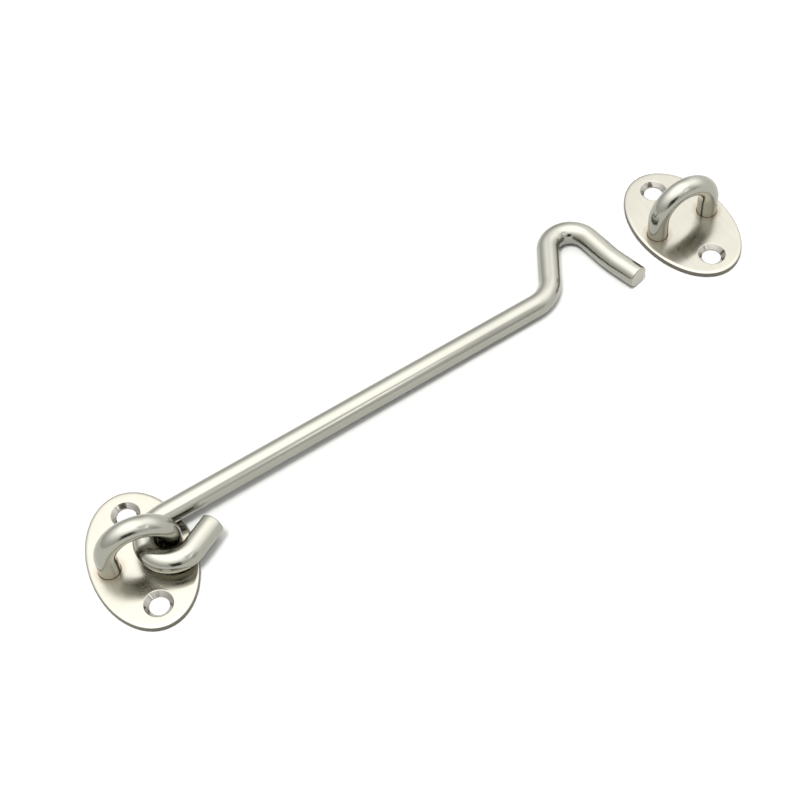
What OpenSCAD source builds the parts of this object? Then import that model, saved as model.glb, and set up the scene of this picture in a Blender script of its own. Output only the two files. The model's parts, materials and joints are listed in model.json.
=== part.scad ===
// Hook and eye latch. A bent round rod swings on a staple and drops into a second staple.
// Each staple stands on an oval plate with two countersunk screw holes.
// The origin is the middle of the hook plate's back face, +Z points away from the mounting surface
// and +X runs along the rod. Millimetres.

/* [Plates] */
// Length of an oval plate, along the line of its screw holes
plate_len = 40; // [36:0.5:56]
// Width of an oval plate
plate_wid = 26; // [25:0.5:36]
// Thickness of the sheet
plate_t = 1.5; // [1.2:0.1:3]
// Bevel round the top edge of a plate
plate_bevel = 0.3; // [0.1:0.05:0.6]

/* [Screw holes] */
// Distance between the two screw holes of a plate
hole_spacing = 27; // [24:0.5:29]
// Diameter of a screw hole
hole_d = 5; // [3.5:0.1:6]
// Straight wall left under the countersink
hole_land = 0.4; // [0.2:0.1:0.8]

/* [Staples] */
// Diameter of the staple wire
staple_d = 5.5; // [4:0.25:6.5]
// Clear width between the two legs
staple_span = 10.5; // [9:0.25:12]
// Clear height between the plate and the crown
staple_room = 10.25; // [9.5:0.25:18]
// Play between a leg and its hole in the plate
leg_play = 0.05; // [0.02:0.01:0.1]
// How far a leg ends short of the plate's back face
leg_inset = 0.3; // [0.2:0.1:0.6]
// Bevel on a leg's cut end
leg_bevel = 0.2; // [0.1:0.05:0.3]
// Depth of the weld pocket in the plate's back
weld_depth = 0.8; // [0.5:0.1:1]
// Width of that pocket all round the leg's hole, at the back face
weld_wid = 1.1; // [0.6:0.1:1.2]
// How far the weld stays below the back face, so that the plate sits flat
weld_sink = 0.1; // [0.05:0.05:0.15]

/* [Rod] */
// Diameter of the rod
rod_d = 6; // [4.5:0.25:7]
// Bevel on the rod's two cut ends
rod_bevel = 0.35; // [0.1:0.05:0.8]
// Length of the straight shank
shank_len = 109.5; // [60:0.5:260]

/* [Eye] */
// Play between the eye and the staple leg that it turns on
eye_play = 0.55; // [0.3:0.05:1]
// Gap between the eye and the plate below it
eye_lift = 0.5; // [0.3:0.1:1]
// Angle that the eye is wrapped round the leg
eye_turn = 190; // [170:1:205]
// Length of the eye's straight free end
eye_end_len = 8.6; // [5:0.1:9]
// Straight length between the eye and the neck bend
neck_len = 0.5; // [0.2:0.1:4]
// Radius of the neck bend, at the rod's middle
neck_r = 15; // [8:0.5:30]
// Angle of the neck bend
neck_turn = 15; // [8:1:25]

/* [Hook] */
// Radius of the bend where the shank turns aside, at the rod's middle
rise_r = 10; // [6:0.5:16]
// Angle of that bend
rise_turn = 56; // [40:1:75]
// Straight length from that bend to the crook
rise_len = 11; // [6:0.5:20]
// Radius of the crook, at the rod's middle
crook_r = 6.1; // [5:0.1:10]
// Angle of the crook
crook_turn = 143; // [125:1:160]
// Straight length from the crook to the bend near the tip
point_len = 7.9; // [4:0.1:16]
// Radius of the bend near the tip
point_r = 20; // [10:1:40]
// Angle of the bend near the tip
point_turn = 8; // [2:1:20]
// Straight length of the tip
tip_len = 8; // [4:0.1:16]

/* [Placing] */
// Turn of the hook plate from square across the rod
hook_plate_turn = -12; // [-25:1:25]
// Turn of the catch plate from square across the rod
catch_plate_turn = -4.5; // [-20:0.5:20]
// Gap between the tip and the catch plate
catch_gap = 6.5; // [2:0.5:60]
// How far the catch plate lies to the side of the hook plate's middle
catch_shift = 6.3; // [-20:0.1:20]

/* [Hidden] */
$fn = 96;

rod_r = rod_d / 2;
staple_r = staple_d / 2;
steel = [0.80, 0.79, 0.75];
bright_steel = [0.86, 0.85, 0.82];
weld_steel = [0.60, 0.56, 0.50];

// A leg's middle lies this far from the plate's middle, and this is the crown's bend radius.
leg_x = (staple_span + staple_d) / 2;
leg_len = plate_t + staple_room + staple_r - leg_x - leg_inset - leg_bevel;
leg_hole_r = staple_r + leg_play;
weld_r = leg_hole_r + weld_wid;
weld_face_r = weld_r - weld_wid * weld_sink / weld_depth;
sink_depth = plate_t - hole_land;
// Cutters reach this far past a face.
past = 1;
// How far a straight runs into the bend next to it, and how much thicker the bend is all round.
bend_lap = 0.2;
bend_swell = 0.01;

// The eye turns on the hook staple's leg nearest the hook.
eye_r = staple_r + eye_play + rod_r;
eye_z = plate_t + eye_lift + rod_r;
pivot = leg_x * [cos(hook_plate_turn), sin(hook_plate_turn)];

// The rod as bending steps from the eye's free end: straight length, bend radius, bend angle (left is plus).
eye_steps = [[eye_end_len - rod_bevel, eye_r, -eye_turn],
             [neck_len, neck_r, -neck_turn]];
hook_steps = [[shank_len, rise_r, rise_turn],
              [rise_len, crook_r, -crook_turn],
              [point_len, point_r, point_turn],
              [tip_len - rod_bevel, 0, 0]];
rod_steps = concat(eye_steps, hook_steps);

// Heading of the free end, and its start from the eye's middle, that bring the shank out along +X.
start_heading = eye_turn + neck_turn;
start_point = eye_r * [-sin(start_heading), cos(start_heading)]
    - eye_steps[0][0] * [cos(start_heading), sin(start_heading)];

// Where a run of bending steps ends.
function turned(v, a) = [v.x * cos(a) - v.y * sin(a), v.x * sin(a) + v.y * cos(a)];
function step_move(s) = [s[0] + s[1] * sin(abs(s[2])), sign(s[2]) * s[1] * (1 - cos(s[2]))];
function end_point(steps, at, heading, i = 0) = i == len(steps) ? at
    : end_point(steps, at + turned(step_move(steps[i]), heading), heading + steps[i][2], i + 1);

// The tip's reach from the pivot, and the pitch that lays the hook end on the mounting surface.
hook_reach = end_point(rod_steps, start_point, start_heading).x + rod_r;
pitch = asin((eye_z - rod_r) / hook_reach);
catch_place = [pivot.x + hook_reach + catch_gap + plate_wid / 2, catch_shift];

// Bends round wire step by step, starting at the origin along +X, with both cut ends bevelled.
module bent_wire(d, steps, bevel, i = 0) {
    run = steps[i][0];
    r = steps[i][1];
    turn = steps[i][2];
    side = sign(turn);
    last = i + 1 == len(steps);
    lap_in = i == 0 ? 0 : bend_lap;
    lap_out = last ? 0 : bend_lap;
    rotate([0, 90, 0]) translate([0, 0, -lap_in]) cylinder(d = d, h = run + lap_in + lap_out);
    if (i == 0) rotate([0, -90, 0]) cut_end(d, bevel);
    if (last) translate([run, 0, 0]) rotate([0, 90, 0]) cut_end(d, bevel);
    else translate([run, side * r, 0]) {
        wire_bend(d, r, turn);
        rotate([0, 0, turn]) translate([0, -side * r, 0]) bent_wire(d, steps, bevel, i + 1);
    }
}

// A bend about the origin. It is a hair thicker than the straights, which run a little way into it.
module wire_bend(d, r, turn) {
    rotate([0, 0, -90 * sign(turn)]) rotate_extrude(angle = turn)
        translate([r, 0]) circle(d = d + 2 * bend_swell);
}

module cut_end(d, bevel) {
    cylinder(d1 = d, d2 = d - 2 * bevel, h = bevel);
}

// An oval plate with its long side along Y and its back face at z = 0.
module oval_plate() {
    difference() {
        oval_blank();
        for (s = [-1, 1]) {
            translate([0, s * hole_spacing / 2, 0]) screw_hole();
            translate([s * leg_x, 0, 0]) leg_hole();
        }
    }
}

// An oval blank with a bevelled top, cut off flat at z = 0.
module oval_blank() {
    difference() {
        union() {
            translate([0, 0, -past]) linear_extrude(past + plate_t - plate_bevel)
                scale([plate_wid / 2, plate_len / 2]) circle(r = 1);
            translate([0, 0, plate_t - plate_bevel]) scale([plate_wid / 2, plate_len / 2, 1])
                cylinder(r1 = 1, r2 = 1 - 2 * plate_bevel / plate_wid, h = plate_bevel);
        }
        translate([-plate_wid, -plate_len, -2 * past]) cube([2 * plate_wid, 2 * plate_len, 2 * past]);
    }
}

// A 90 degree countersink over a straight land.
module screw_hole() {
    translate([0, 0, -past]) cylinder(d = hole_d, h = plate_t + 2 * past);
    translate([0, 0, hole_land])
        cylinder(d1 = hole_d, d2 = hole_d + 2 * (sink_depth + past), h = sink_depth + past);
}

module leg_hole() {
    translate([0, 0, -past]) cylinder(r = leg_hole_r, h = plate_t + 2 * past);
    cylinder(r1 = weld_r, r2 = leg_hole_r, h = weld_depth);
}

module staple() {
    translate([-leg_x, 0, leg_inset + leg_bevel]) rotate([0, -90, 90])
        bent_wire(staple_d, [[leg_len, leg_x, -180], [leg_len, 0, 0]], leg_bevel);
}

// The two welds that fill the pockets round the legs.
module staple_welds() {
    for (s = [-1, 1]) translate([s * leg_x, 0, 0]) rotate_extrude()
        polygon([[0, weld_sink], [weld_face_r, weld_sink], [leg_hole_r, weld_depth], [staple_r, weld_depth],
                 [staple_r, leg_inset + leg_bevel], [staple_r - leg_bevel, leg_inset], [0, leg_inset]]);
}

module at_hook_plate() {
    rotate([0, 0, hook_plate_turn]) children();
}

module at_catch_plate() {
    translate(concat(catch_place, 0)) rotate([0, 0, catch_plate_turn]) children();
}

module hook_plate() {
    color(bright_steel) at_hook_plate() oval_plate();
}

module hook_staple() {
    color(steel) at_hook_plate() staple();
}

module hook_staple_welds() {
    color(weld_steel) at_hook_plate() staple_welds();
}

// The rod lies in one plane, with the eye's middle on the staple's leg and the hook end on the surface.
module hook_rod() {
    color(steel) translate(concat(pivot, eye_z)) rotate([0, pitch, 0])
        translate(concat(start_point, 0)) rotate([0, 0, start_heading])
            bent_wire(rod_d, rod_steps, rod_bevel);
}

module catch_plate() {
    color(bright_steel) at_catch_plate() oval_plate();
}

module catch_staple() {
    color(steel) at_catch_plate() staple();
}

module catch_staple_welds() {
    color(weld_steel) at_catch_plate() staple_welds();
}

hook_plate();
hook_staple();
hook_staple_welds();
hook_rod();
catch_plate();
catch_staple();
catch_staple_welds();
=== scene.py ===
"""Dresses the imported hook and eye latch: bent bar, stamped plates, welds, floor, light and camera."""

import json
import math

import bmesh
import bpy
from mathutils import Matrix, Vector


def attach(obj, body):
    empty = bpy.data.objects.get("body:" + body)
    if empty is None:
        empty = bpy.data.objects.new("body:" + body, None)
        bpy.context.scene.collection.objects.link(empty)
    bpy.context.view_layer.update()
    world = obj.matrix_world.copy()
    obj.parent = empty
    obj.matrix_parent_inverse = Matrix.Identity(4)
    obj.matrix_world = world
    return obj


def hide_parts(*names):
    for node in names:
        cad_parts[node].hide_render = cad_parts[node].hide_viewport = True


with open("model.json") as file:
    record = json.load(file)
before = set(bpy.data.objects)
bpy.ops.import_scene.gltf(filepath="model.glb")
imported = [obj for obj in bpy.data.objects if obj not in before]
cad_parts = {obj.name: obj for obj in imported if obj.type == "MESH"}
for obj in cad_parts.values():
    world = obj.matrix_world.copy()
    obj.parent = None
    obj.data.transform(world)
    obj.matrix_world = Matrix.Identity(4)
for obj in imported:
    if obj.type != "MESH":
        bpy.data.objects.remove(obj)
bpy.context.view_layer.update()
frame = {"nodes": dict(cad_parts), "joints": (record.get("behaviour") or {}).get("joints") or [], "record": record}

MM = 0.001

# Oval plates, as stamped: half sizes, sheet thickness and the rolled-over top edge that the punch leaves
PLATE_HALF_WIDTH = 13.0 * MM
PLATE_HALF_LENGTH = 20.0 * MM
SHEET = 1.5 * MM
EDGE_ROLL_WIDTH = 1.0 * MM
EDGE_ROLL_DEPTH = 0.5 * MM
# Loops of the rim, counted from the back face, between which the blanking die leaves the edge dull and the edge's
# dark metal paints a shaded outline
DULL_SHADED_LOOPS = 4
# The catch plate's turn from square across the rod
CATCH_TURN = math.radians(-4.5)

# Screw holes: 90 degree countersink over a straight land
HOLE_REACH = 13.5 * MM
HOLE_RADIUS = 2.5 * MM
HOLE_LAND = 0.4 * MM
SINK_RIM = HOLE_RADIUS + SHEET - HOLE_LAND
SINK_ROUND = 0.12 * MM

# Staples: wire, its cut ends, leg place and the weld pocket in the plate's back
STAPLE_WIRE = 5.5 * MM
STAPLE_EDGE = 0.2 * MM
LEG_REACH = 8.0 * MM
LEG_HOLE_RADIUS = 2.8 * MM
LEG_HOLE_ROUND = 0.1 * MM
LEG_START = 0.3 * MM
CROWN_CENTRE = 6.5 * MM
WELD_RADIUS = 3.9 * MM
WELD_DEPTH = 0.8 * MM

# Rod: bar, its cut ends, the eye and the height of the eye's middle
ROD_BAR = 6.0 * MM
ROD_EDGE = 0.35 * MM
EYE_END = 8.6 * MM
EYE_RADIUS = 6.3 * MM
EYE_TURN = 190.0
NECK_TURN = 15.0
EYE_HEIGHT = 5.0 * MM

# Bending steps: a straight length, then a bend's radius and its angle in degrees, with left as plus
ROD_STEPS = [
    (EYE_END, EYE_RADIUS, -EYE_TURN),  # free end and eye
    (0.5 * MM, 15.0 * MM, -NECK_TURN),  # neck
    (109.5 * MM, 10.0 * MM, 56.0),  # shank and the bend that turns aside from it
    (11.0 * MM, 6.1 * MM, -143.0),  # crook
    (7.9 * MM, 20.0 * MM, 8.0),  # slight bend near the tip
    (8.0 * MM, 0.0, 0.0),  # tip
]
STAPLE_STEPS = [
    (CROWN_CENTRE - LEG_START, LEG_REACH, -180.0),
    (CROWN_CENTRE - LEG_START, 0.0, 0.0),
]
# A bar flattens a little where it is bent.
BEND_FLATTENING = 0.02

# Mesh fineness, with the step along a bend in degrees
WIRE_SIDES = 72
STRAIGHT_STEP = 2.0 * MM
BEND_STEP = 3.0
FACE_RINGS = 4
OVAL_POINTS = 240
HOLE_POINTS = 96
ROUND_STEPS = 6
SHARP_EDGE = math.radians(30)

# Places in a bar's and in a plate's list of metals
BAR_SIDE, BAR_END = 0, 1
PLATE_SHADED_EDGE, PLATE_SINK = 1, 2

# Floor: half its side, and how far it lies below the mounting surface
FLOOR_HALF = 3.0
FLOOR_DROP = 0.05 * MM

# Camera: the photograph's place, aim and tilt, with the lens and sensor in millimetres
CAMERA_PLACE = Vector((-53.0, -223.2, 350.8)) * MM
CAMERA_AIM = Vector((76.3, 3.07, 0.0)) * MM
CAMERA_ROLL = math.radians(-5.4)
CAMERA_LENS = 77.85
CAMERA_SENSOR = 36.0
NEAREST_SEEN, FARTHEST_SEEN = 0.01, 20

# Key lamp: strength, width as an angle, and the direction that its light comes from
KEY_STRENGTH = 5.3
KEY_WIDTH = math.radians(16)
KEY_FROM = Vector((-0.25, -0.15, 0.95))

# Front panel: place, size, and how bright its face looks
PANEL_PLACE = (0.355, -0.82, 0.55)
PANEL_WIDTH = 0.1
PANEL_DEPTH = 0.6
PANEL_RADIANCE = 1.8

# White tent: the walls' glow at the floor, what the roof adds to it, how steeply that comes in and where it
# levels off, and the glow that is left at the dark flag
WALL_GLOW = 0.8
ROOF_GLOW = 2.9
ROOF_CURVE = 2.5
ROOF_LEVEL = 0.78
FLAG_GLOW = 0.08
# Fades of the tent: an axis of the sky, where along it the fade begins and ends, and the level at each end
SKY_FADES = {
    # The whole tent is a little dimmer to the right, and its right wall has a glow of its own.
    "sides": ("X", 0.1, 0.5, 1.12, 0.98),
    "right": ("X", 0.45, 0.75, 0.0, 1.0),
    "right_glow": ("Z", 0.2, 0.65, 0.6, 0.85),
    # A strip of the front wall, brighter upwards and dimmer towards its right edge
    "front": ("Y", -0.42, -0.58, 0.0, 1.0),
    "front_from": ("X", 0.05, 0.12, 0.0, 1.0),
    "front_to": ("X", 0.47, 0.37, 0.0, 1.0),
    "front_glow": ("Z", 0.05, 0.5, 0.95, 1.4),
    "front_tilt": ("X", 0.3, 0.4, 1.0, 0.7),
    # A dark flag at the front left
    "flag_side": ("X", -0.08, -0.2, 0.0, 1.0),
    "flag_end": ("X", -0.64, -0.5, 0.0, 1.0),
    "flag_ahead": ("Y", -0.3, -0.5, 0.0, 1.0),
    "flag_top": ("Z", 0.6, 0.44, 0.0, 1.0),
}


def srgb(text):
    """A hex colour as the linear RGBA that Blender's sockets take."""
    values = [int(text[i:i + 2], 16) / 255 for i in (1, 3, 5)]
    return [v / 12.92 if v <= 0.04045 else ((v + 0.055) / 1.055) ** 2.4 for v in values] + [1.0]


def feed(tree, node, inputs):
    """Fills a node's inputs, each with a value or with a link from a socket."""
    for key, value in inputs.items():
        if isinstance(value, bpy.types.NodeSocket):
            tree.links.new(value, node.inputs[key])
        else:
            node.inputs[key].default_value = value


def add(tree, kind, inputs=None, **settings):
    """Adds a node with its settings and fills its inputs."""
    made = tree.nodes.new(kind)
    for key, value in settings.items():
        setattr(made, key, value)
    feed(tree, made, inputs or {})
    return made


def new_metal(name):
    """A bare metal. Returns the material, its tree and its shader."""
    made = bpy.data.materials.new(name)
    made.use_nodes = True
    shader = made.node_tree.nodes["Principled BSDF"]
    shader.inputs["Metallic"].default_value = 1.0
    return made, made.node_tree, shader


def own_millimetres(tree, kept_as):
    """Each point's place on its own piece in millimetres. The mesh keeps it in metres under this name."""
    place = add(tree, "ShaderNodeAttribute", attribute_name=kept_as).outputs["Vector"]
    return add(tree, "ShaderNodeVectorMath", {0: place, 1: (1 / MM,) * 3}, operation="MULTIPLY").outputs[0]


# Stainless bar, drawn through a die and then tumbled bright. The die leaves faint lines along the bar that
# follow every bend, and the tumbling leaves a soft mirror with small scuffs.
def drawn_stainless(name):
    made, tree, shader = new_metal(name)
    in_mm = own_millimetres(tree, "unbent")
    # Die lines are some 0.05 mm apart and are drawn 0.4 mm apart, so that they show.
    die_lines_per_mm = (0.02, 2.5, 2.5)
    die_frame = add(tree, "ShaderNodeVectorMath", {0: in_mm, 1: die_lines_per_mm},
                    operation="MULTIPLY").outputs[0]
    die_lines = add(tree, "ShaderNodeTexNoise",
                    {"Vector": die_frame, "Scale": 1.0, "Detail": 3.0}).outputs["Fac"]
    # Tumbling scuffs are about 3 mm long and 0.8 mm wide.
    scuffs_per_mm = (0.3, 1.2, 1.2)
    scuff_frame = add(tree, "ShaderNodeVectorMath", {0: in_mm, 1: scuffs_per_mm},
                      operation="MULTIPLY").outputs[0]
    scuffs = add(tree, "ShaderNodeTexNoise",
                 {"Vector": scuff_frame, "Scale": 1.0, "Detail": 5.0, "Distortion": 1.2}).outputs["Fac"]
    # Handling leaves the gloss uneven over about 12 mm.
    handling_mm = 12
    handling = add(tree, "ShaderNodeTexNoise",
                   {"Vector": in_mm, "Scale": 1 / handling_mm, "Detail": 2.0}).outputs["Fac"]
    tone = add(tree, "ShaderNodeMix", {"Factor": handling, "A": srgb("#94938A"), "B": srgb("#9E9D94")},
               data_type="RGBA").outputs["Result"]
    worn = add(tree, "ShaderNodeMath", {0: scuffs, 1: handling}, operation="MULTIPLY").outputs[0]
    roughness = add(tree, "ShaderNodeMapRange", {"Value": worn, "From Min": 0.1, "From Max": 0.45,
                                                 "To Min": 0.11, "To Max": 0.2}).outputs[0]
    # The scuffs are less than a third as deep as the die lines.
    scuff_share = 0.3
    grain = add(tree, "ShaderNodeMath", {0: scuffs, 1: scuff_share, 2: die_lines},
                operation="MULTIPLY_ADD").outputs[0]
    bump = add(tree, "ShaderNodeBump", {"Height": grain, "Strength": 0.25, "Distance": 0.02 * MM}).outputs[0]
    feed(tree, shader, {"Base Color": tone, "Roughness": roughness, "Normal": bump})
    return made


# Stainless bar, cut off in a shear: a duller face with fine parallel tear lines.
def sheared_stainless(name):
    made, tree, shader = new_metal(name)
    in_mm = own_millimetres(tree, "unbent")
    # Tear lines are some 0.1 mm apart and are drawn 0.5 mm apart, so that they show.
    tears_per_mm = (1.0, 2.0, 0.25)
    tear_frame = add(tree, "ShaderNodeVectorMath", {0: in_mm, 1: tears_per_mm},
                     operation="MULTIPLY").outputs[0]
    tears = add(tree, "ShaderNodeTexNoise",
                {"Vector": tear_frame, "Scale": 1.0, "Detail": 4.0}).outputs["Fac"]
    tone = add(tree, "ShaderNodeMix", {"Factor": tears, "A": srgb("#9A978D"), "B": srgb("#BDBAB1")},
               data_type="RGBA").outputs["Result"]
    roughness = add(tree, "ShaderNodeMapRange", {"Value": tears, "To Min": 0.26, "To Max": 0.5}).outputs[0]
    bump = add(tree, "ShaderNodeBump", {"Height": tears, "Strength": 0.4, "Distance": 0.05 * MM}).outputs[0]
    feed(tree, shader, {"Base Color": tone, "Roughness": roughness, "Normal": bump})
    return made


# Stainless sheet, brushed along the plate's long side and then stamped: reflections are drawn out across the
# grain and stay sharp along it. A brown ring darkens the sheet round the foot of each leg.
def brushed_sheet(name):
    made, tree, shader = new_metal(name)
    across = add(tree, "ShaderNodeAttribute", attribute_name="across_grain").outputs["Vector"]
    tangent = add(tree, "ShaderNodeVectorTransform", {0: across},
                  convert_from="OBJECT", convert_to="WORLD").outputs[0]
    in_mm = own_millimetres(tree, "own_place")
    # Brush lines are some 0.05 mm apart and are drawn 0.4 mm apart, so that they show.
    brush_lines_per_mm = (2.5, 0.06, 0.06)
    brush_frame = add(tree, "ShaderNodeVectorMath", {0: in_mm, 1: brush_lines_per_mm},
                      operation="MULTIPLY").outputs[0]
    brush = add(tree, "ShaderNodeTexNoise",
                {"Vector": brush_frame, "Scale": 1.0, "Detail": 4.0}).outputs["Fac"]
    # Handling leaves the gloss uneven over about 9 mm.
    handling_mm = 9
    handling = add(tree, "ShaderNodeTexNoise",
                   {"Vector": in_mm, "Scale": 1 / handling_mm, "Detail": 2.0}).outputs["Fac"]
    both = add(tree, "ShaderNodeMath", {0: brush, 1: handling}, operation="ADD").outputs[0]
    patches = add(tree, "ShaderNodeMapRange", {"Value": both, "From Min": 0.7, "From Max": 1.3}).outputs[0]
    tone = add(tree, "ShaderNodeMix", {"Factor": patches, "A": srgb("#A29F95"), "B": srgb("#A9A69B")},
               data_type="RGBA").outputs["Result"]
    # Both legs lie on the plate's short axis, so one side's distance serves for the two.
    mirrored = add(tree, "ShaderNodeVectorMath", {0: in_mm}, operation="ABSOLUTE").outputs[0]
    flat = add(tree, "ShaderNodeVectorMath", {0: mirrored, 1: (1.0, 1.0, 0.0)},
               operation="MULTIPLY").outputs[0]
    from_leg = add(tree, "ShaderNodeVectorMath", {0: flat, 1: (LEG_REACH / MM, 0.0, 0.0)},
                   operation="DISTANCE").outputs["Value"]
    # A brown ring darkens the sheet round the foot of each leg, fading out from the leg's hole.
    ring_start_mm = LEG_HOLE_RADIUS / MM
    tint_width_mm, tint_share = 1.6, 0.42
    foot_ring = add(tree, "ShaderNodeMapRange", {"Value": from_leg, "From Min": ring_start_mm,
                                            "From Max": ring_start_mm + tint_width_mm,
                                            "To Min": tint_share, "To Max": 0.0}).outputs[0]
    tinted = add(tree, "ShaderNodeMix", {"Factor": foot_ring, "A": tone, "B": srgb("#806848")},
                 data_type="RGBA").outputs["Result"]
    roughness = add(tree, "ShaderNodeMapRange", {"Value": patches, "To Min": 0.17, "To Max": 0.22}).outputs[0]
    bump = add(tree, "ShaderNodeBump", {"Height": brush, "Strength": 0.08, "Distance": 0.02 * MM}).outputs[0]
    feed(tree, shader, {"Base Color": tinted, "Roughness": roughness, "Anisotropic": 0.92,
                        "Tangent": tangent, "Normal": bump})
    return made


# Stainless sheet, countersunk with a turning tool: bright, with fine rings round the hole.
def turned_sink(name):
    made, tree, shader = new_metal(name)
    in_mm = own_millimetres(tree, "own_place")
    # Tool rings are some 0.05 mm apart and are drawn 0.25 mm apart down the cone, so that they show.
    rings_per_mm = (0.4, 0.4, 4.0)
    ring_frame = add(tree, "ShaderNodeVectorMath", {0: in_mm, 1: rings_per_mm},
                     operation="MULTIPLY").outputs[0]
    rings = add(tree, "ShaderNodeTexNoise",
                {"Vector": ring_frame, "Scale": 1.0, "Detail": 3.0}).outputs["Fac"]
    tone = add(tree, "ShaderNodeMix", {"Factor": rings, "A": srgb("#8A8881"), "B": srgb("#A6A39C")},
               data_type="RGBA").outputs["Result"]
    roughness = add(tree, "ShaderNodeMapRange", {"Value": rings, "To Min": 0.05, "To Max": 0.12}).outputs[0]
    bump = add(tree, "ShaderNodeBump", {"Height": rings, "Strength": 0.25, "Distance": 0.03 * MM}).outputs[0]
    feed(tree, shader, {"Base Color": tone, "Roughness": roughness, "Normal": bump})
    return made


# Stainless sheet, blanked out with a die: its edge is dull and torn in upright streaks.
# Its tones are set far darker than the steel's own: painted shade that draws a dark outline round the rim and
# wall.
def dull_edge_with_painted_shade(name):
    made, tree, shader = new_metal(name)
    in_mm = own_millimetres(tree, "own_place")
    # Streaks are some 0.1 mm apart and are drawn 0.4 mm apart, so that they show.
    streaks_per_mm = (2.5, 2.5, 0.6)
    streak_frame = add(tree, "ShaderNodeVectorMath", {0: in_mm, 1: streaks_per_mm},
                       operation="MULTIPLY").outputs[0]
    streaks = add(tree, "ShaderNodeTexNoise",
                  {"Vector": streak_frame, "Scale": 1.0, "Detail": 3.0}).outputs["Fac"]
    # Painted shade: both tones lie far below bare steel, so the edge reads as a dark outline.
    tone = add(tree, "ShaderNodeMix", {"Factor": streaks, "A": srgb("#54514B"), "B": srgb("#75736C")},
               data_type="RGBA").outputs["Result"]
    roughness = add(tree, "ShaderNodeMapRange", {"Value": streaks, "To Min": 0.3, "To Max": 0.5}).outputs[0]
    bump = add(tree, "ShaderNodeBump", {"Height": streaks, "Strength": 0.4, "Distance": 0.04 * MM}).outputs[0]
    feed(tree, shader, {"Base Color": tone, "Roughness": roughness, "Normal": bump})
    return made


# Stainless weld metal, ground back below the plate: coarse grinding marks and a brown heat tint.
def ground_weld(name):
    made, tree, shader = new_metal(name)
    place = add(tree, "ShaderNodeTexCoord").outputs["Object"]
    in_mm = add(tree, "ShaderNodeVectorMath", {0: place, 1: (1 / MM,) * 3}, operation="MULTIPLY").outputs[0]
    # Grinding marks are about 3 mm long and 0.3 mm apart.
    marks_per_mm = (0.3, 3.0, 1.0)
    marks_frame = add(tree, "ShaderNodeVectorMath", {0: in_mm, 1: marks_per_mm},
                      operation="MULTIPLY").outputs[0]
    marks = add(tree, "ShaderNodeTexNoise",
                {"Vector": marks_frame, "Scale": 1.0, "Detail": 4.0}).outputs["Fac"]
    tone = add(tree, "ShaderNodeMix", {"Factor": marks, "A": srgb("#7E7263"), "B": srgb("#B4ADA0")},
               data_type="RGBA").outputs["Result"]
    roughness = add(tree, "ShaderNodeMapRange", {"Value": marks, "To Min": 0.35, "To Max": 0.6}).outputs[0]
    bump = add(tree, "ShaderNodeBump", {"Height": marks, "Strength": 0.5, "Distance": 0.05 * MM}).outputs[0]
    feed(tree, shader, {"Base Color": tone, "Roughness": roughness, "Normal": bump})
    return made


def bend_route(steps):
    """Stations along a bent bar in its plane: place, heading, length so far and how much it is bent there."""
    at, heading, along = Vector((0, 0)), 0.0, 0.0
    stations = []
    for run, radius, turn in steps:
        ahead = Vector((math.cos(heading), math.sin(heading)))
        pieces = max(1, math.ceil(run / STRAIGHT_STEP))
        stations += [(at + ahead * run * k / pieces, heading, along + run * k / pieces, 0.0)
                     for k in range(pieces + 1)]
        at, along = at + ahead * run, along + run
        if turn == 0:
            break
        side = math.copysign(1, turn)
        centre = at + side * radius * Vector((-math.sin(heading), math.cos(heading)))
        swept = radius * math.radians(abs(turn))
        pieces = math.ceil(abs(turn) / BEND_STEP)
        for k in range(1, pieces):
            part = k / pieces
            there = heading + math.radians(turn) * part
            place = centre - side * radius * Vector((-math.sin(there), math.cos(there)))
            stations.append((place, there, along + swept * part, math.sin(math.pi * part)))
        heading += math.radians(turn)
        along += swept
        at = centre - side * radius * Vector((-math.sin(heading), math.cos(heading)))
    return stations


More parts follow.
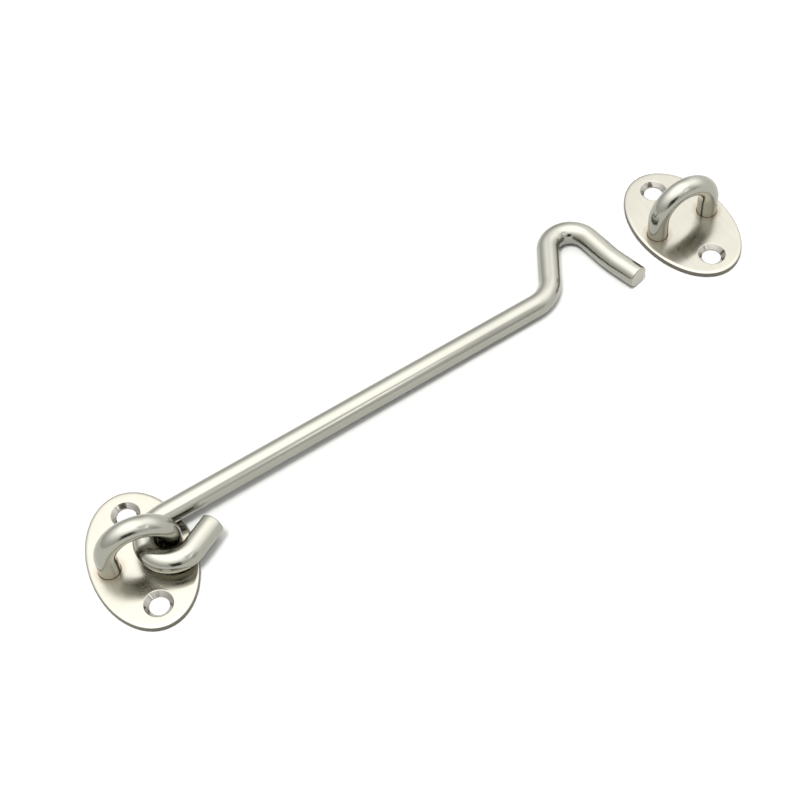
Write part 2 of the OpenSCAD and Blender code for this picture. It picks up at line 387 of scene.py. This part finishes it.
def bent_bar(name, diameter, edge, steps, materials):
    """A mesh of round bar bent in the XY plane, its cut ends rounded off by the edge's radius.
    Each point keeps the place that it had in the straight bar as "unbent"."""
    stations = bend_route(steps)
    radius = diameter / 2
    # Rings as station, radius, and setback from the station along the bar
    quarter = [math.pi / 2 * k / ROUND_STEPS for k in range(ROUND_STEPS + 1)]
    lip = [(radius - edge + edge * math.sin(a), edge * (1 - math.cos(a))) for a in quarter]
    face = [(radius - edge) * k / FACE_RINGS for k in range(1, FACE_RINGS)]
    first, last = stations[0], stations[-1]
    rings = [(first, r, 0.0) for r in face] + [(first, r, back) for r, back in lip]
    rings += [(s, radius, 0.0) for s in stations[1:-1]]
    rings += [(last, r, -back) for r, back in reversed(lip)] + [(last, r, 0.0) for r in reversed(face)]
    points, unbent, faces, slots = [], [], [], []

    def put(station, out, up, setback):
        at, heading, along, _ = station
        place = at + setback * Vector((math.cos(heading), math.sin(heading)))
        place += out * Vector((-math.sin(heading), math.cos(heading)))
        points.append((place.x, place.y, up))
        unbent.append((along + setback, out, up))

    put(first, 0.0, 0.0, 0.0)
    for station, r, setback in rings:
        *_, bent = station
        flat = BEND_FLATTENING * bent
        for k in range(WIRE_SIDES):
            a = 2 * math.pi * k / WIRE_SIDES
            put(station, r * (1 - flat) * math.cos(a), r * (1 + flat / 2) * math.sin(a), setback)
    put(last, 0.0, 0.0, 0.0)
    tip = len(points) - 1
    last_ring = 1 + WIRE_SIDES * (len(rings) - 1)
    for k in range(WIRE_SIDES):
        n = (k + 1) % WIRE_SIDES
        faces += [(0, 1 + n, 1 + k), (tip, last_ring + k, last_ring + n)]
        slots += [BAR_END, BAR_END]
    for i in range(len(rings) - 1):
        near, far = 1 + WIRE_SIDES * i, 1 + WIRE_SIDES * (i + 1)
        on_face = i < len(face) or i >= len(rings) - 1 - len(face)
        for k in range(WIRE_SIDES):
            n = (k + 1) % WIRE_SIDES
            faces.append((near + k, near + n, far + n, far + k))
            slots.append(BAR_END if on_face else BAR_SIDE)
    made = bpy.data.meshes.new(name)
    made.from_pydata(points, [], faces)
    attribute = made.attributes.new("unbent", "FLOAT_VECTOR", "POINT")
    attribute.data.foreach_set("vector", [v for p in unbent for v in p])
    for m in materials:
        made.materials.append(m)
    made.polygons.foreach_set("material_index", slots)
    made.shade_smooth()
    made.update()
    return made


def loop_of(bm, points):
    """Adds a closed loop of points and its edges."""
    verts = [bm.verts.new(p) for p in points]
    edges = [bm.edges.new((v, verts[(i + 1) % len(verts)])) for i, v in enumerate(verts)]
    return verts, edges


def skin(bm, loops):
    """Joins each loop to the next one with quads and returns them."""
    made = []
    for (a, _), (b, _) in zip(loops, loops[1:]):
        for i in range(len(a)):
            n = (i + 1) % len(a)
            made.append(bm.faces.new((a[i], a[n], b[n], b[i])))
    return made


def oval(inset, z):
    """Points of the plate's outline, moved in by inset along its own normal."""
    points = []
    for k in range(OVAL_POINTS):
        a = 2 * math.pi * k / OVAL_POINTS
        normal = Vector((math.cos(a) / PLATE_HALF_WIDTH, math.sin(a) / PLATE_HALF_LENGTH)).normalized()
        points.append((PLATE_HALF_WIDTH * math.cos(a) - inset * normal.x,
                       PLATE_HALF_LENGTH * math.sin(a) - inset * normal.y, z))
    return points


def ring(x, y, radius, z):
    """Points of a level circle."""
    angles = [2 * math.pi * k / HOLE_POINTS for k in range(HOLE_POINTS)]
    return [(x + radius * math.cos(a), y + radius * math.sin(a), z) for a in angles]


def rounded(start, corner, end):
    """A smooth round from start to end that stays inside the corner, as pairs of numbers like theirs."""
    pairs = []
    for k in range(ROUND_STEPS + 1):
        t = k / ROUND_STEPS
        pairs.append(tuple((1 - t) ** 2 * s + 2 * t * (1 - t) * c + t * t * e
                           for s, c, e in zip(start, corner, end)))
    return pairs


def stamped_plate(name, materials):
    """An oval plate in its own frame, long side along Y, back face at z = 0.
    Each point keeps its place there as "own_place"."""
    bm = bmesh.new()
    rim = [(0.0, 0.0)] + rounded((0.0, SHEET - EDGE_ROLL_DEPTH), (0.0, SHEET), (EDGE_ROLL_WIDTH, SHEET))
    outer = [loop_of(bm, oval(inset, z)) for inset, z in rim]
    # The blanking die leaves the outer part of the rolled edge dull, like the wall below it; its dark metal also
    # paints a shaded outline along the edge.
    dull_shaded_rim = skin(bm, outer[:DULL_SHADED_LOOPS])
    skin(bm, outer[DULL_SHADED_LOOPS - 1:])
    # The profiles of the holes, as radius and height from the top down
    slope = SINK_ROUND / math.sqrt(2)
    sink = rounded((SINK_RIM + SINK_ROUND, SHEET), (SINK_RIM, SHEET), (SINK_RIM - slope, SHEET - slope))
    sink += [(HOLE_RADIUS, HOLE_LAND), (HOLE_RADIUS, 0.0)]
    leg = rounded((LEG_HOLE_RADIUS + LEG_HOLE_ROUND, SHEET), (LEG_HOLE_RADIUS, SHEET),
                  (LEG_HOLE_RADIUS, SHEET - LEG_HOLE_ROUND))
    leg += [(LEG_HOLE_RADIUS, WELD_DEPTH), (WELD_RADIUS, 0.0)]
    holes = [(0, HOLE_REACH, sink), (0, -HOLE_REACH, sink), (LEG_REACH, 0, leg), (-LEG_REACH, 0, leg)]
    top, back = list(outer[-1][1]), list(outer[0][1])
    sink_walls = []
    for x, y, profile in holes:
        loops = [loop_of(bm, ring(x, y, r, z)) for r, z in profile]
        walls = skin(bm, loops)
        if profile is sink:
            sink_walls += walls
        top += loops[0][1]
        back += loops[-1][1]
    for edges in (top, back):
        bmesh.ops.triangle_fill(bm, edges=edges, use_beauty=True)
    bmesh.ops.recalc_face_normals(bm, faces=bm.faces)
    # These faces carry the edge metal's painted shade.
    for f in dull_shaded_rim:
        f.material_index = PLATE_SHADED_EDGE
    for f in sink_walls:
        f.material_index = PLATE_SINK
    made = bpy.data.meshes.new(name)
    bm.to_mesh(made)
    bm.free()
    attribute = made.attributes.new("own_place", "FLOAT_VECTOR", "POINT")
    attribute.data.foreach_set("vector", [c for v in made.vertices for c in v.co])
    made.shade_smooth()
    made.set_sharp_from_angle(angle=SHARP_EDGE)
    for m in materials:
        made.materials.append(m)
    return made


def put_in_scene(name, data):
    """Adds an object to the scene."""
    made = bpy.data.objects.new(name, data)
    bpy.context.scene.collection.objects.link(made)
    return made


def piece(name, mesh, place, body, node):
    """A new piece, put in its place in the frame, that stands for a CAD node and moves with its body."""
    mesh.transform(place)
    made = put_in_scene(name, mesh)
    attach(made, body)
    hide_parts(node)
    return made


mounts = {m["name"]: Vector(m["pos_m"]) for m in frame["record"]["mounts"]}
pivot = Vector(next(j for j in frame["joints"] if j["name"] == "hook_swing")["pos_m"])

bar_metal = drawn_stainless("drawn_stainless_bar")
cut_metal = sheared_stainless("sheared_stainless_end")
sheet_metal = brushed_sheet("brushed_stainless_sheet")
edge_metal_with_painted_shade = dull_edge_with_painted_shade("blanked_stainless_edge_painted_shade")
sink_metal = turned_sink("turned_stainless_sink")
weld_metal = ground_weld("ground_stainless_weld")

# Plates and staples: the same stamping and the same bent wire, twice. The rod's pivot, a leg of the hook's
# staple, gives the hook plate's turn.
hook_turn = math.atan2(pivot.y, pivot.x)
upright_wire = Matrix.Rotation(math.pi / 2, 4, "Z") @ Matrix.Rotation(-math.pi / 2, 4, "Y")
stand_up = Matrix.Translation((-LEG_REACH, 0, LEG_START)) @ upright_wire
for body, prefix, turn in [("hook_mount", "hook", hook_turn), ("catch", "catch", CATCH_TURN)]:
    place = Matrix.Translation(mounts[prefix + "_plate_screws"]) @ Matrix.Rotation(turn, 4, "Z")
    stamping = stamped_plate(prefix + "_stamping", [sheet_metal, edge_metal_with_painted_shade, sink_metal])
    across = place.to_3x3() @ Vector((1, 0, 0))
    grain = stamping.attributes.new("across_grain", "FLOAT_VECTOR", "POINT")
    grain.data.foreach_set("vector", list(across) * len(stamping.vertices))
    plate = piece(prefix + "_plate_stamping", stamping, place, body, prefix + "_plate")
    plate.modifiers.new("even faces", "WEIGHTED_NORMAL").keep_sharp = True
    wire = bent_bar(prefix + "_wire", STAPLE_WIRE, STAPLE_EDGE, STAPLE_STEPS, [bar_metal, cut_metal])
    piece(prefix + "_staple_wire", wire, place @ stand_up, body, prefix + "_staple")
    welds = frame["nodes"][prefix + "_staple_welds"]
    welds.data.materials.clear()
    welds.data.materials.append(weld_metal)

# Rod: it lies in one plane that slopes from the eye down to the hook's end on the mounting surface
heading = math.radians(EYE_TURN + NECK_TURN)
start = EYE_RADIUS * Vector((-math.sin(heading), math.cos(heading), 0))
start -= EYE_END * Vector((math.cos(heading), math.sin(heading), 0))
in_plane = Matrix.Translation(start) @ Matrix.Rotation(heading, 4, "Z")
rod_mesh = bent_bar("bent_rod", ROD_BAR, ROD_EDGE, ROD_STEPS, [bar_metal, cut_metal])
reach = (in_plane @ rod_mesh.vertices[-1].co).x + ROD_BAR / 2
pitch = math.asin((EYE_HEIGHT - ROD_BAR / 2) / reach)
eye_place = Matrix.Translation((pivot.x, pivot.y, EYE_HEIGHT)) @ Matrix.Rotation(pitch, 4, "Y")
piece("hook_rod_bar", rod_mesh, eye_place @ in_plane, "hook", "hook_rod")

# Floor: matt white card that runs well past the view
floor_mesh = bpy.data.meshes.new("floor")
corners = [(x * FLOOR_HALF, y * FLOOR_HALF, 0) for x, y in ((-1, -1), (1, -1), (1, 1), (-1, 1))]
floor_mesh.from_pydata(corners, [], [(0, 1, 2, 3)])
floor = put_in_scene("floor", floor_mesh)
floor.location.z = -FLOOR_DROP
card = bpy.data.materials.new("white_card")
card.use_nodes = True
feed(card.node_tree, card.node_tree.nodes["Principled BSDF"],
     {"Base Color": srgb("#9D9D9B"), "Roughness": 0.9, "Specular IOR Level": 0.1})
floor_mesh.materials.append(card)

# Camera: aimed with its lower edge level, then rolled by the photograph's small tilt
ahead = (CAMERA_AIM - CAMERA_PLACE).normalized()
level = ahead.cross(Vector((0, 0, 1))).normalized()
upright = level.cross(ahead)
right = level * math.cos(CAMERA_ROLL) + upright * math.sin(CAMERA_ROLL)
up = upright * math.cos(CAMERA_ROLL) - level * math.sin(CAMERA_ROLL)
camera_data = bpy.data.cameras.new("camera")
camera_data.lens = CAMERA_LENS
camera_data.sensor_width = CAMERA_SENSOR
camera_data.clip_start, camera_data.clip_end = NEAREST_SEEN, FARTHEST_SEEN
camera = put_in_scene("camera", camera_data)
camera.matrix_world = Matrix.Translation(CAMERA_PLACE) @ Matrix((right, up, -ahead)).transposed().to_4x4()
bpy.context.scene.camera = camera

# Light, as in a white tent. A lamp behind its cloth throws the shadows to the right and away from the camera,
# and isn't itself mirrored in the metal.
key_data = bpy.data.lights.new("key_lamp", "SUN")
key_data.energy = KEY_STRENGTH
key_data.angle = KEY_WIDTH
key_lamp = put_in_scene("key_lamp", key_data)
key_lamp.rotation_mode = "QUATERNION"
key_lamp.rotation_quaternion = KEY_FROM.to_track_quat("Z", "Y")
key_lamp.visible_glossy = False

# A small level panel at the front right faces down. Its power follows from how bright its face looks.
panel_data = bpy.data.lights.new("front_panel", "AREA")
panel_data.shape = "RECTANGLE"
panel_data.size, panel_data.size_y = PANEL_WIDTH, PANEL_DEPTH
panel_data.energy = PANEL_RADIANCE * math.pi * PANEL_WIDTH * PANEL_DEPTH
put_in_scene("front_panel", panel_data).location = PANEL_PLACE

# The tent glows most in its roof, less in its walls, and is dark only at the flag.
world = bpy.data.worlds.new("white_tent")
bpy.context.scene.world = world
world.use_nodes = True
tree = world.node_tree
way = add(tree, "ShaderNodeSeparateXYZ", {0: add(tree, "ShaderNodeTexCoord").outputs["Generated"]}).outputs
sky = {}
for name, (axis, begin, end, low, high) in SKY_FADES.items():
    sky[name] = add(tree, "ShaderNodeMapRange", {"Value": way[axis], "From Min": begin, "From Max": end,
                                                 "To Min": low, "To Max": high},
                    interpolation_type="SMOOTHSTEP").outputs[0]
above = add(tree, "ShaderNodeMath", {0: way["Z"], 1: 0.0}, operation="MAXIMUM").outputs[0]
arch = add(tree, "ShaderNodeMath", {0: above, 1: ROOF_CURVE}, operation="POWER").outputs[0]
arch = add(tree, "ShaderNodeMath", {0: arch, 1: ROOF_LEVEL}, operation="MINIMUM").outputs[0]
roof = add(tree, "ShaderNodeMath", {0: arch, 1: ROOF_GLOW, 2: WALL_GLOW}, operation="MULTIPLY_ADD").outputs[0]
tent = add(tree, "ShaderNodeMath", {0: sky["right"], 1: sky["right_glow"], 2: roof},
           operation="MULTIPLY_ADD").outputs[0]
tent = add(tree, "ShaderNodeMath", {0: tent, 1: sky["sides"]}, operation="MULTIPLY").outputs[0]
# How much of the front strip and of the flag is seen in each direction
shares = {}
for name, fades in {"front": ("front", "front_from", "front_to"),
                    "flag": ("flag_side", "flag_end", "flag_ahead", "flag_top")}.items():
    share = sky[fades[0]]
    for other in fades[1:]:
        share = add(tree, "ShaderNodeMath", {0: share, 1: sky[other]}, operation="MULTIPLY").outputs[0]
    shares[name] = share
ahead_glow = add(tree, "ShaderNodeMath", {0: sky["front_glow"], 1: sky["front_tilt"]},
                 operation="MULTIPLY").outputs[0]
glow = add(tree, "ShaderNodeMix", {"Factor": shares["front"], "A": tent, "B": ahead_glow}).outputs["Result"]
glow = add(tree, "ShaderNodeMix", {"Factor": shares["flag"], "A": glow, "B": FLAG_GLOW}).outputs["Result"]
feed(tree, tree.nodes["Background"], {"Color": srgb("#FFFFFF"), "Strength": glow})
# The photograph has a plain contrast curve.
bpy.context.scene.view_settings.view_transform = "Standard"

bpy.context.view_layer.update()
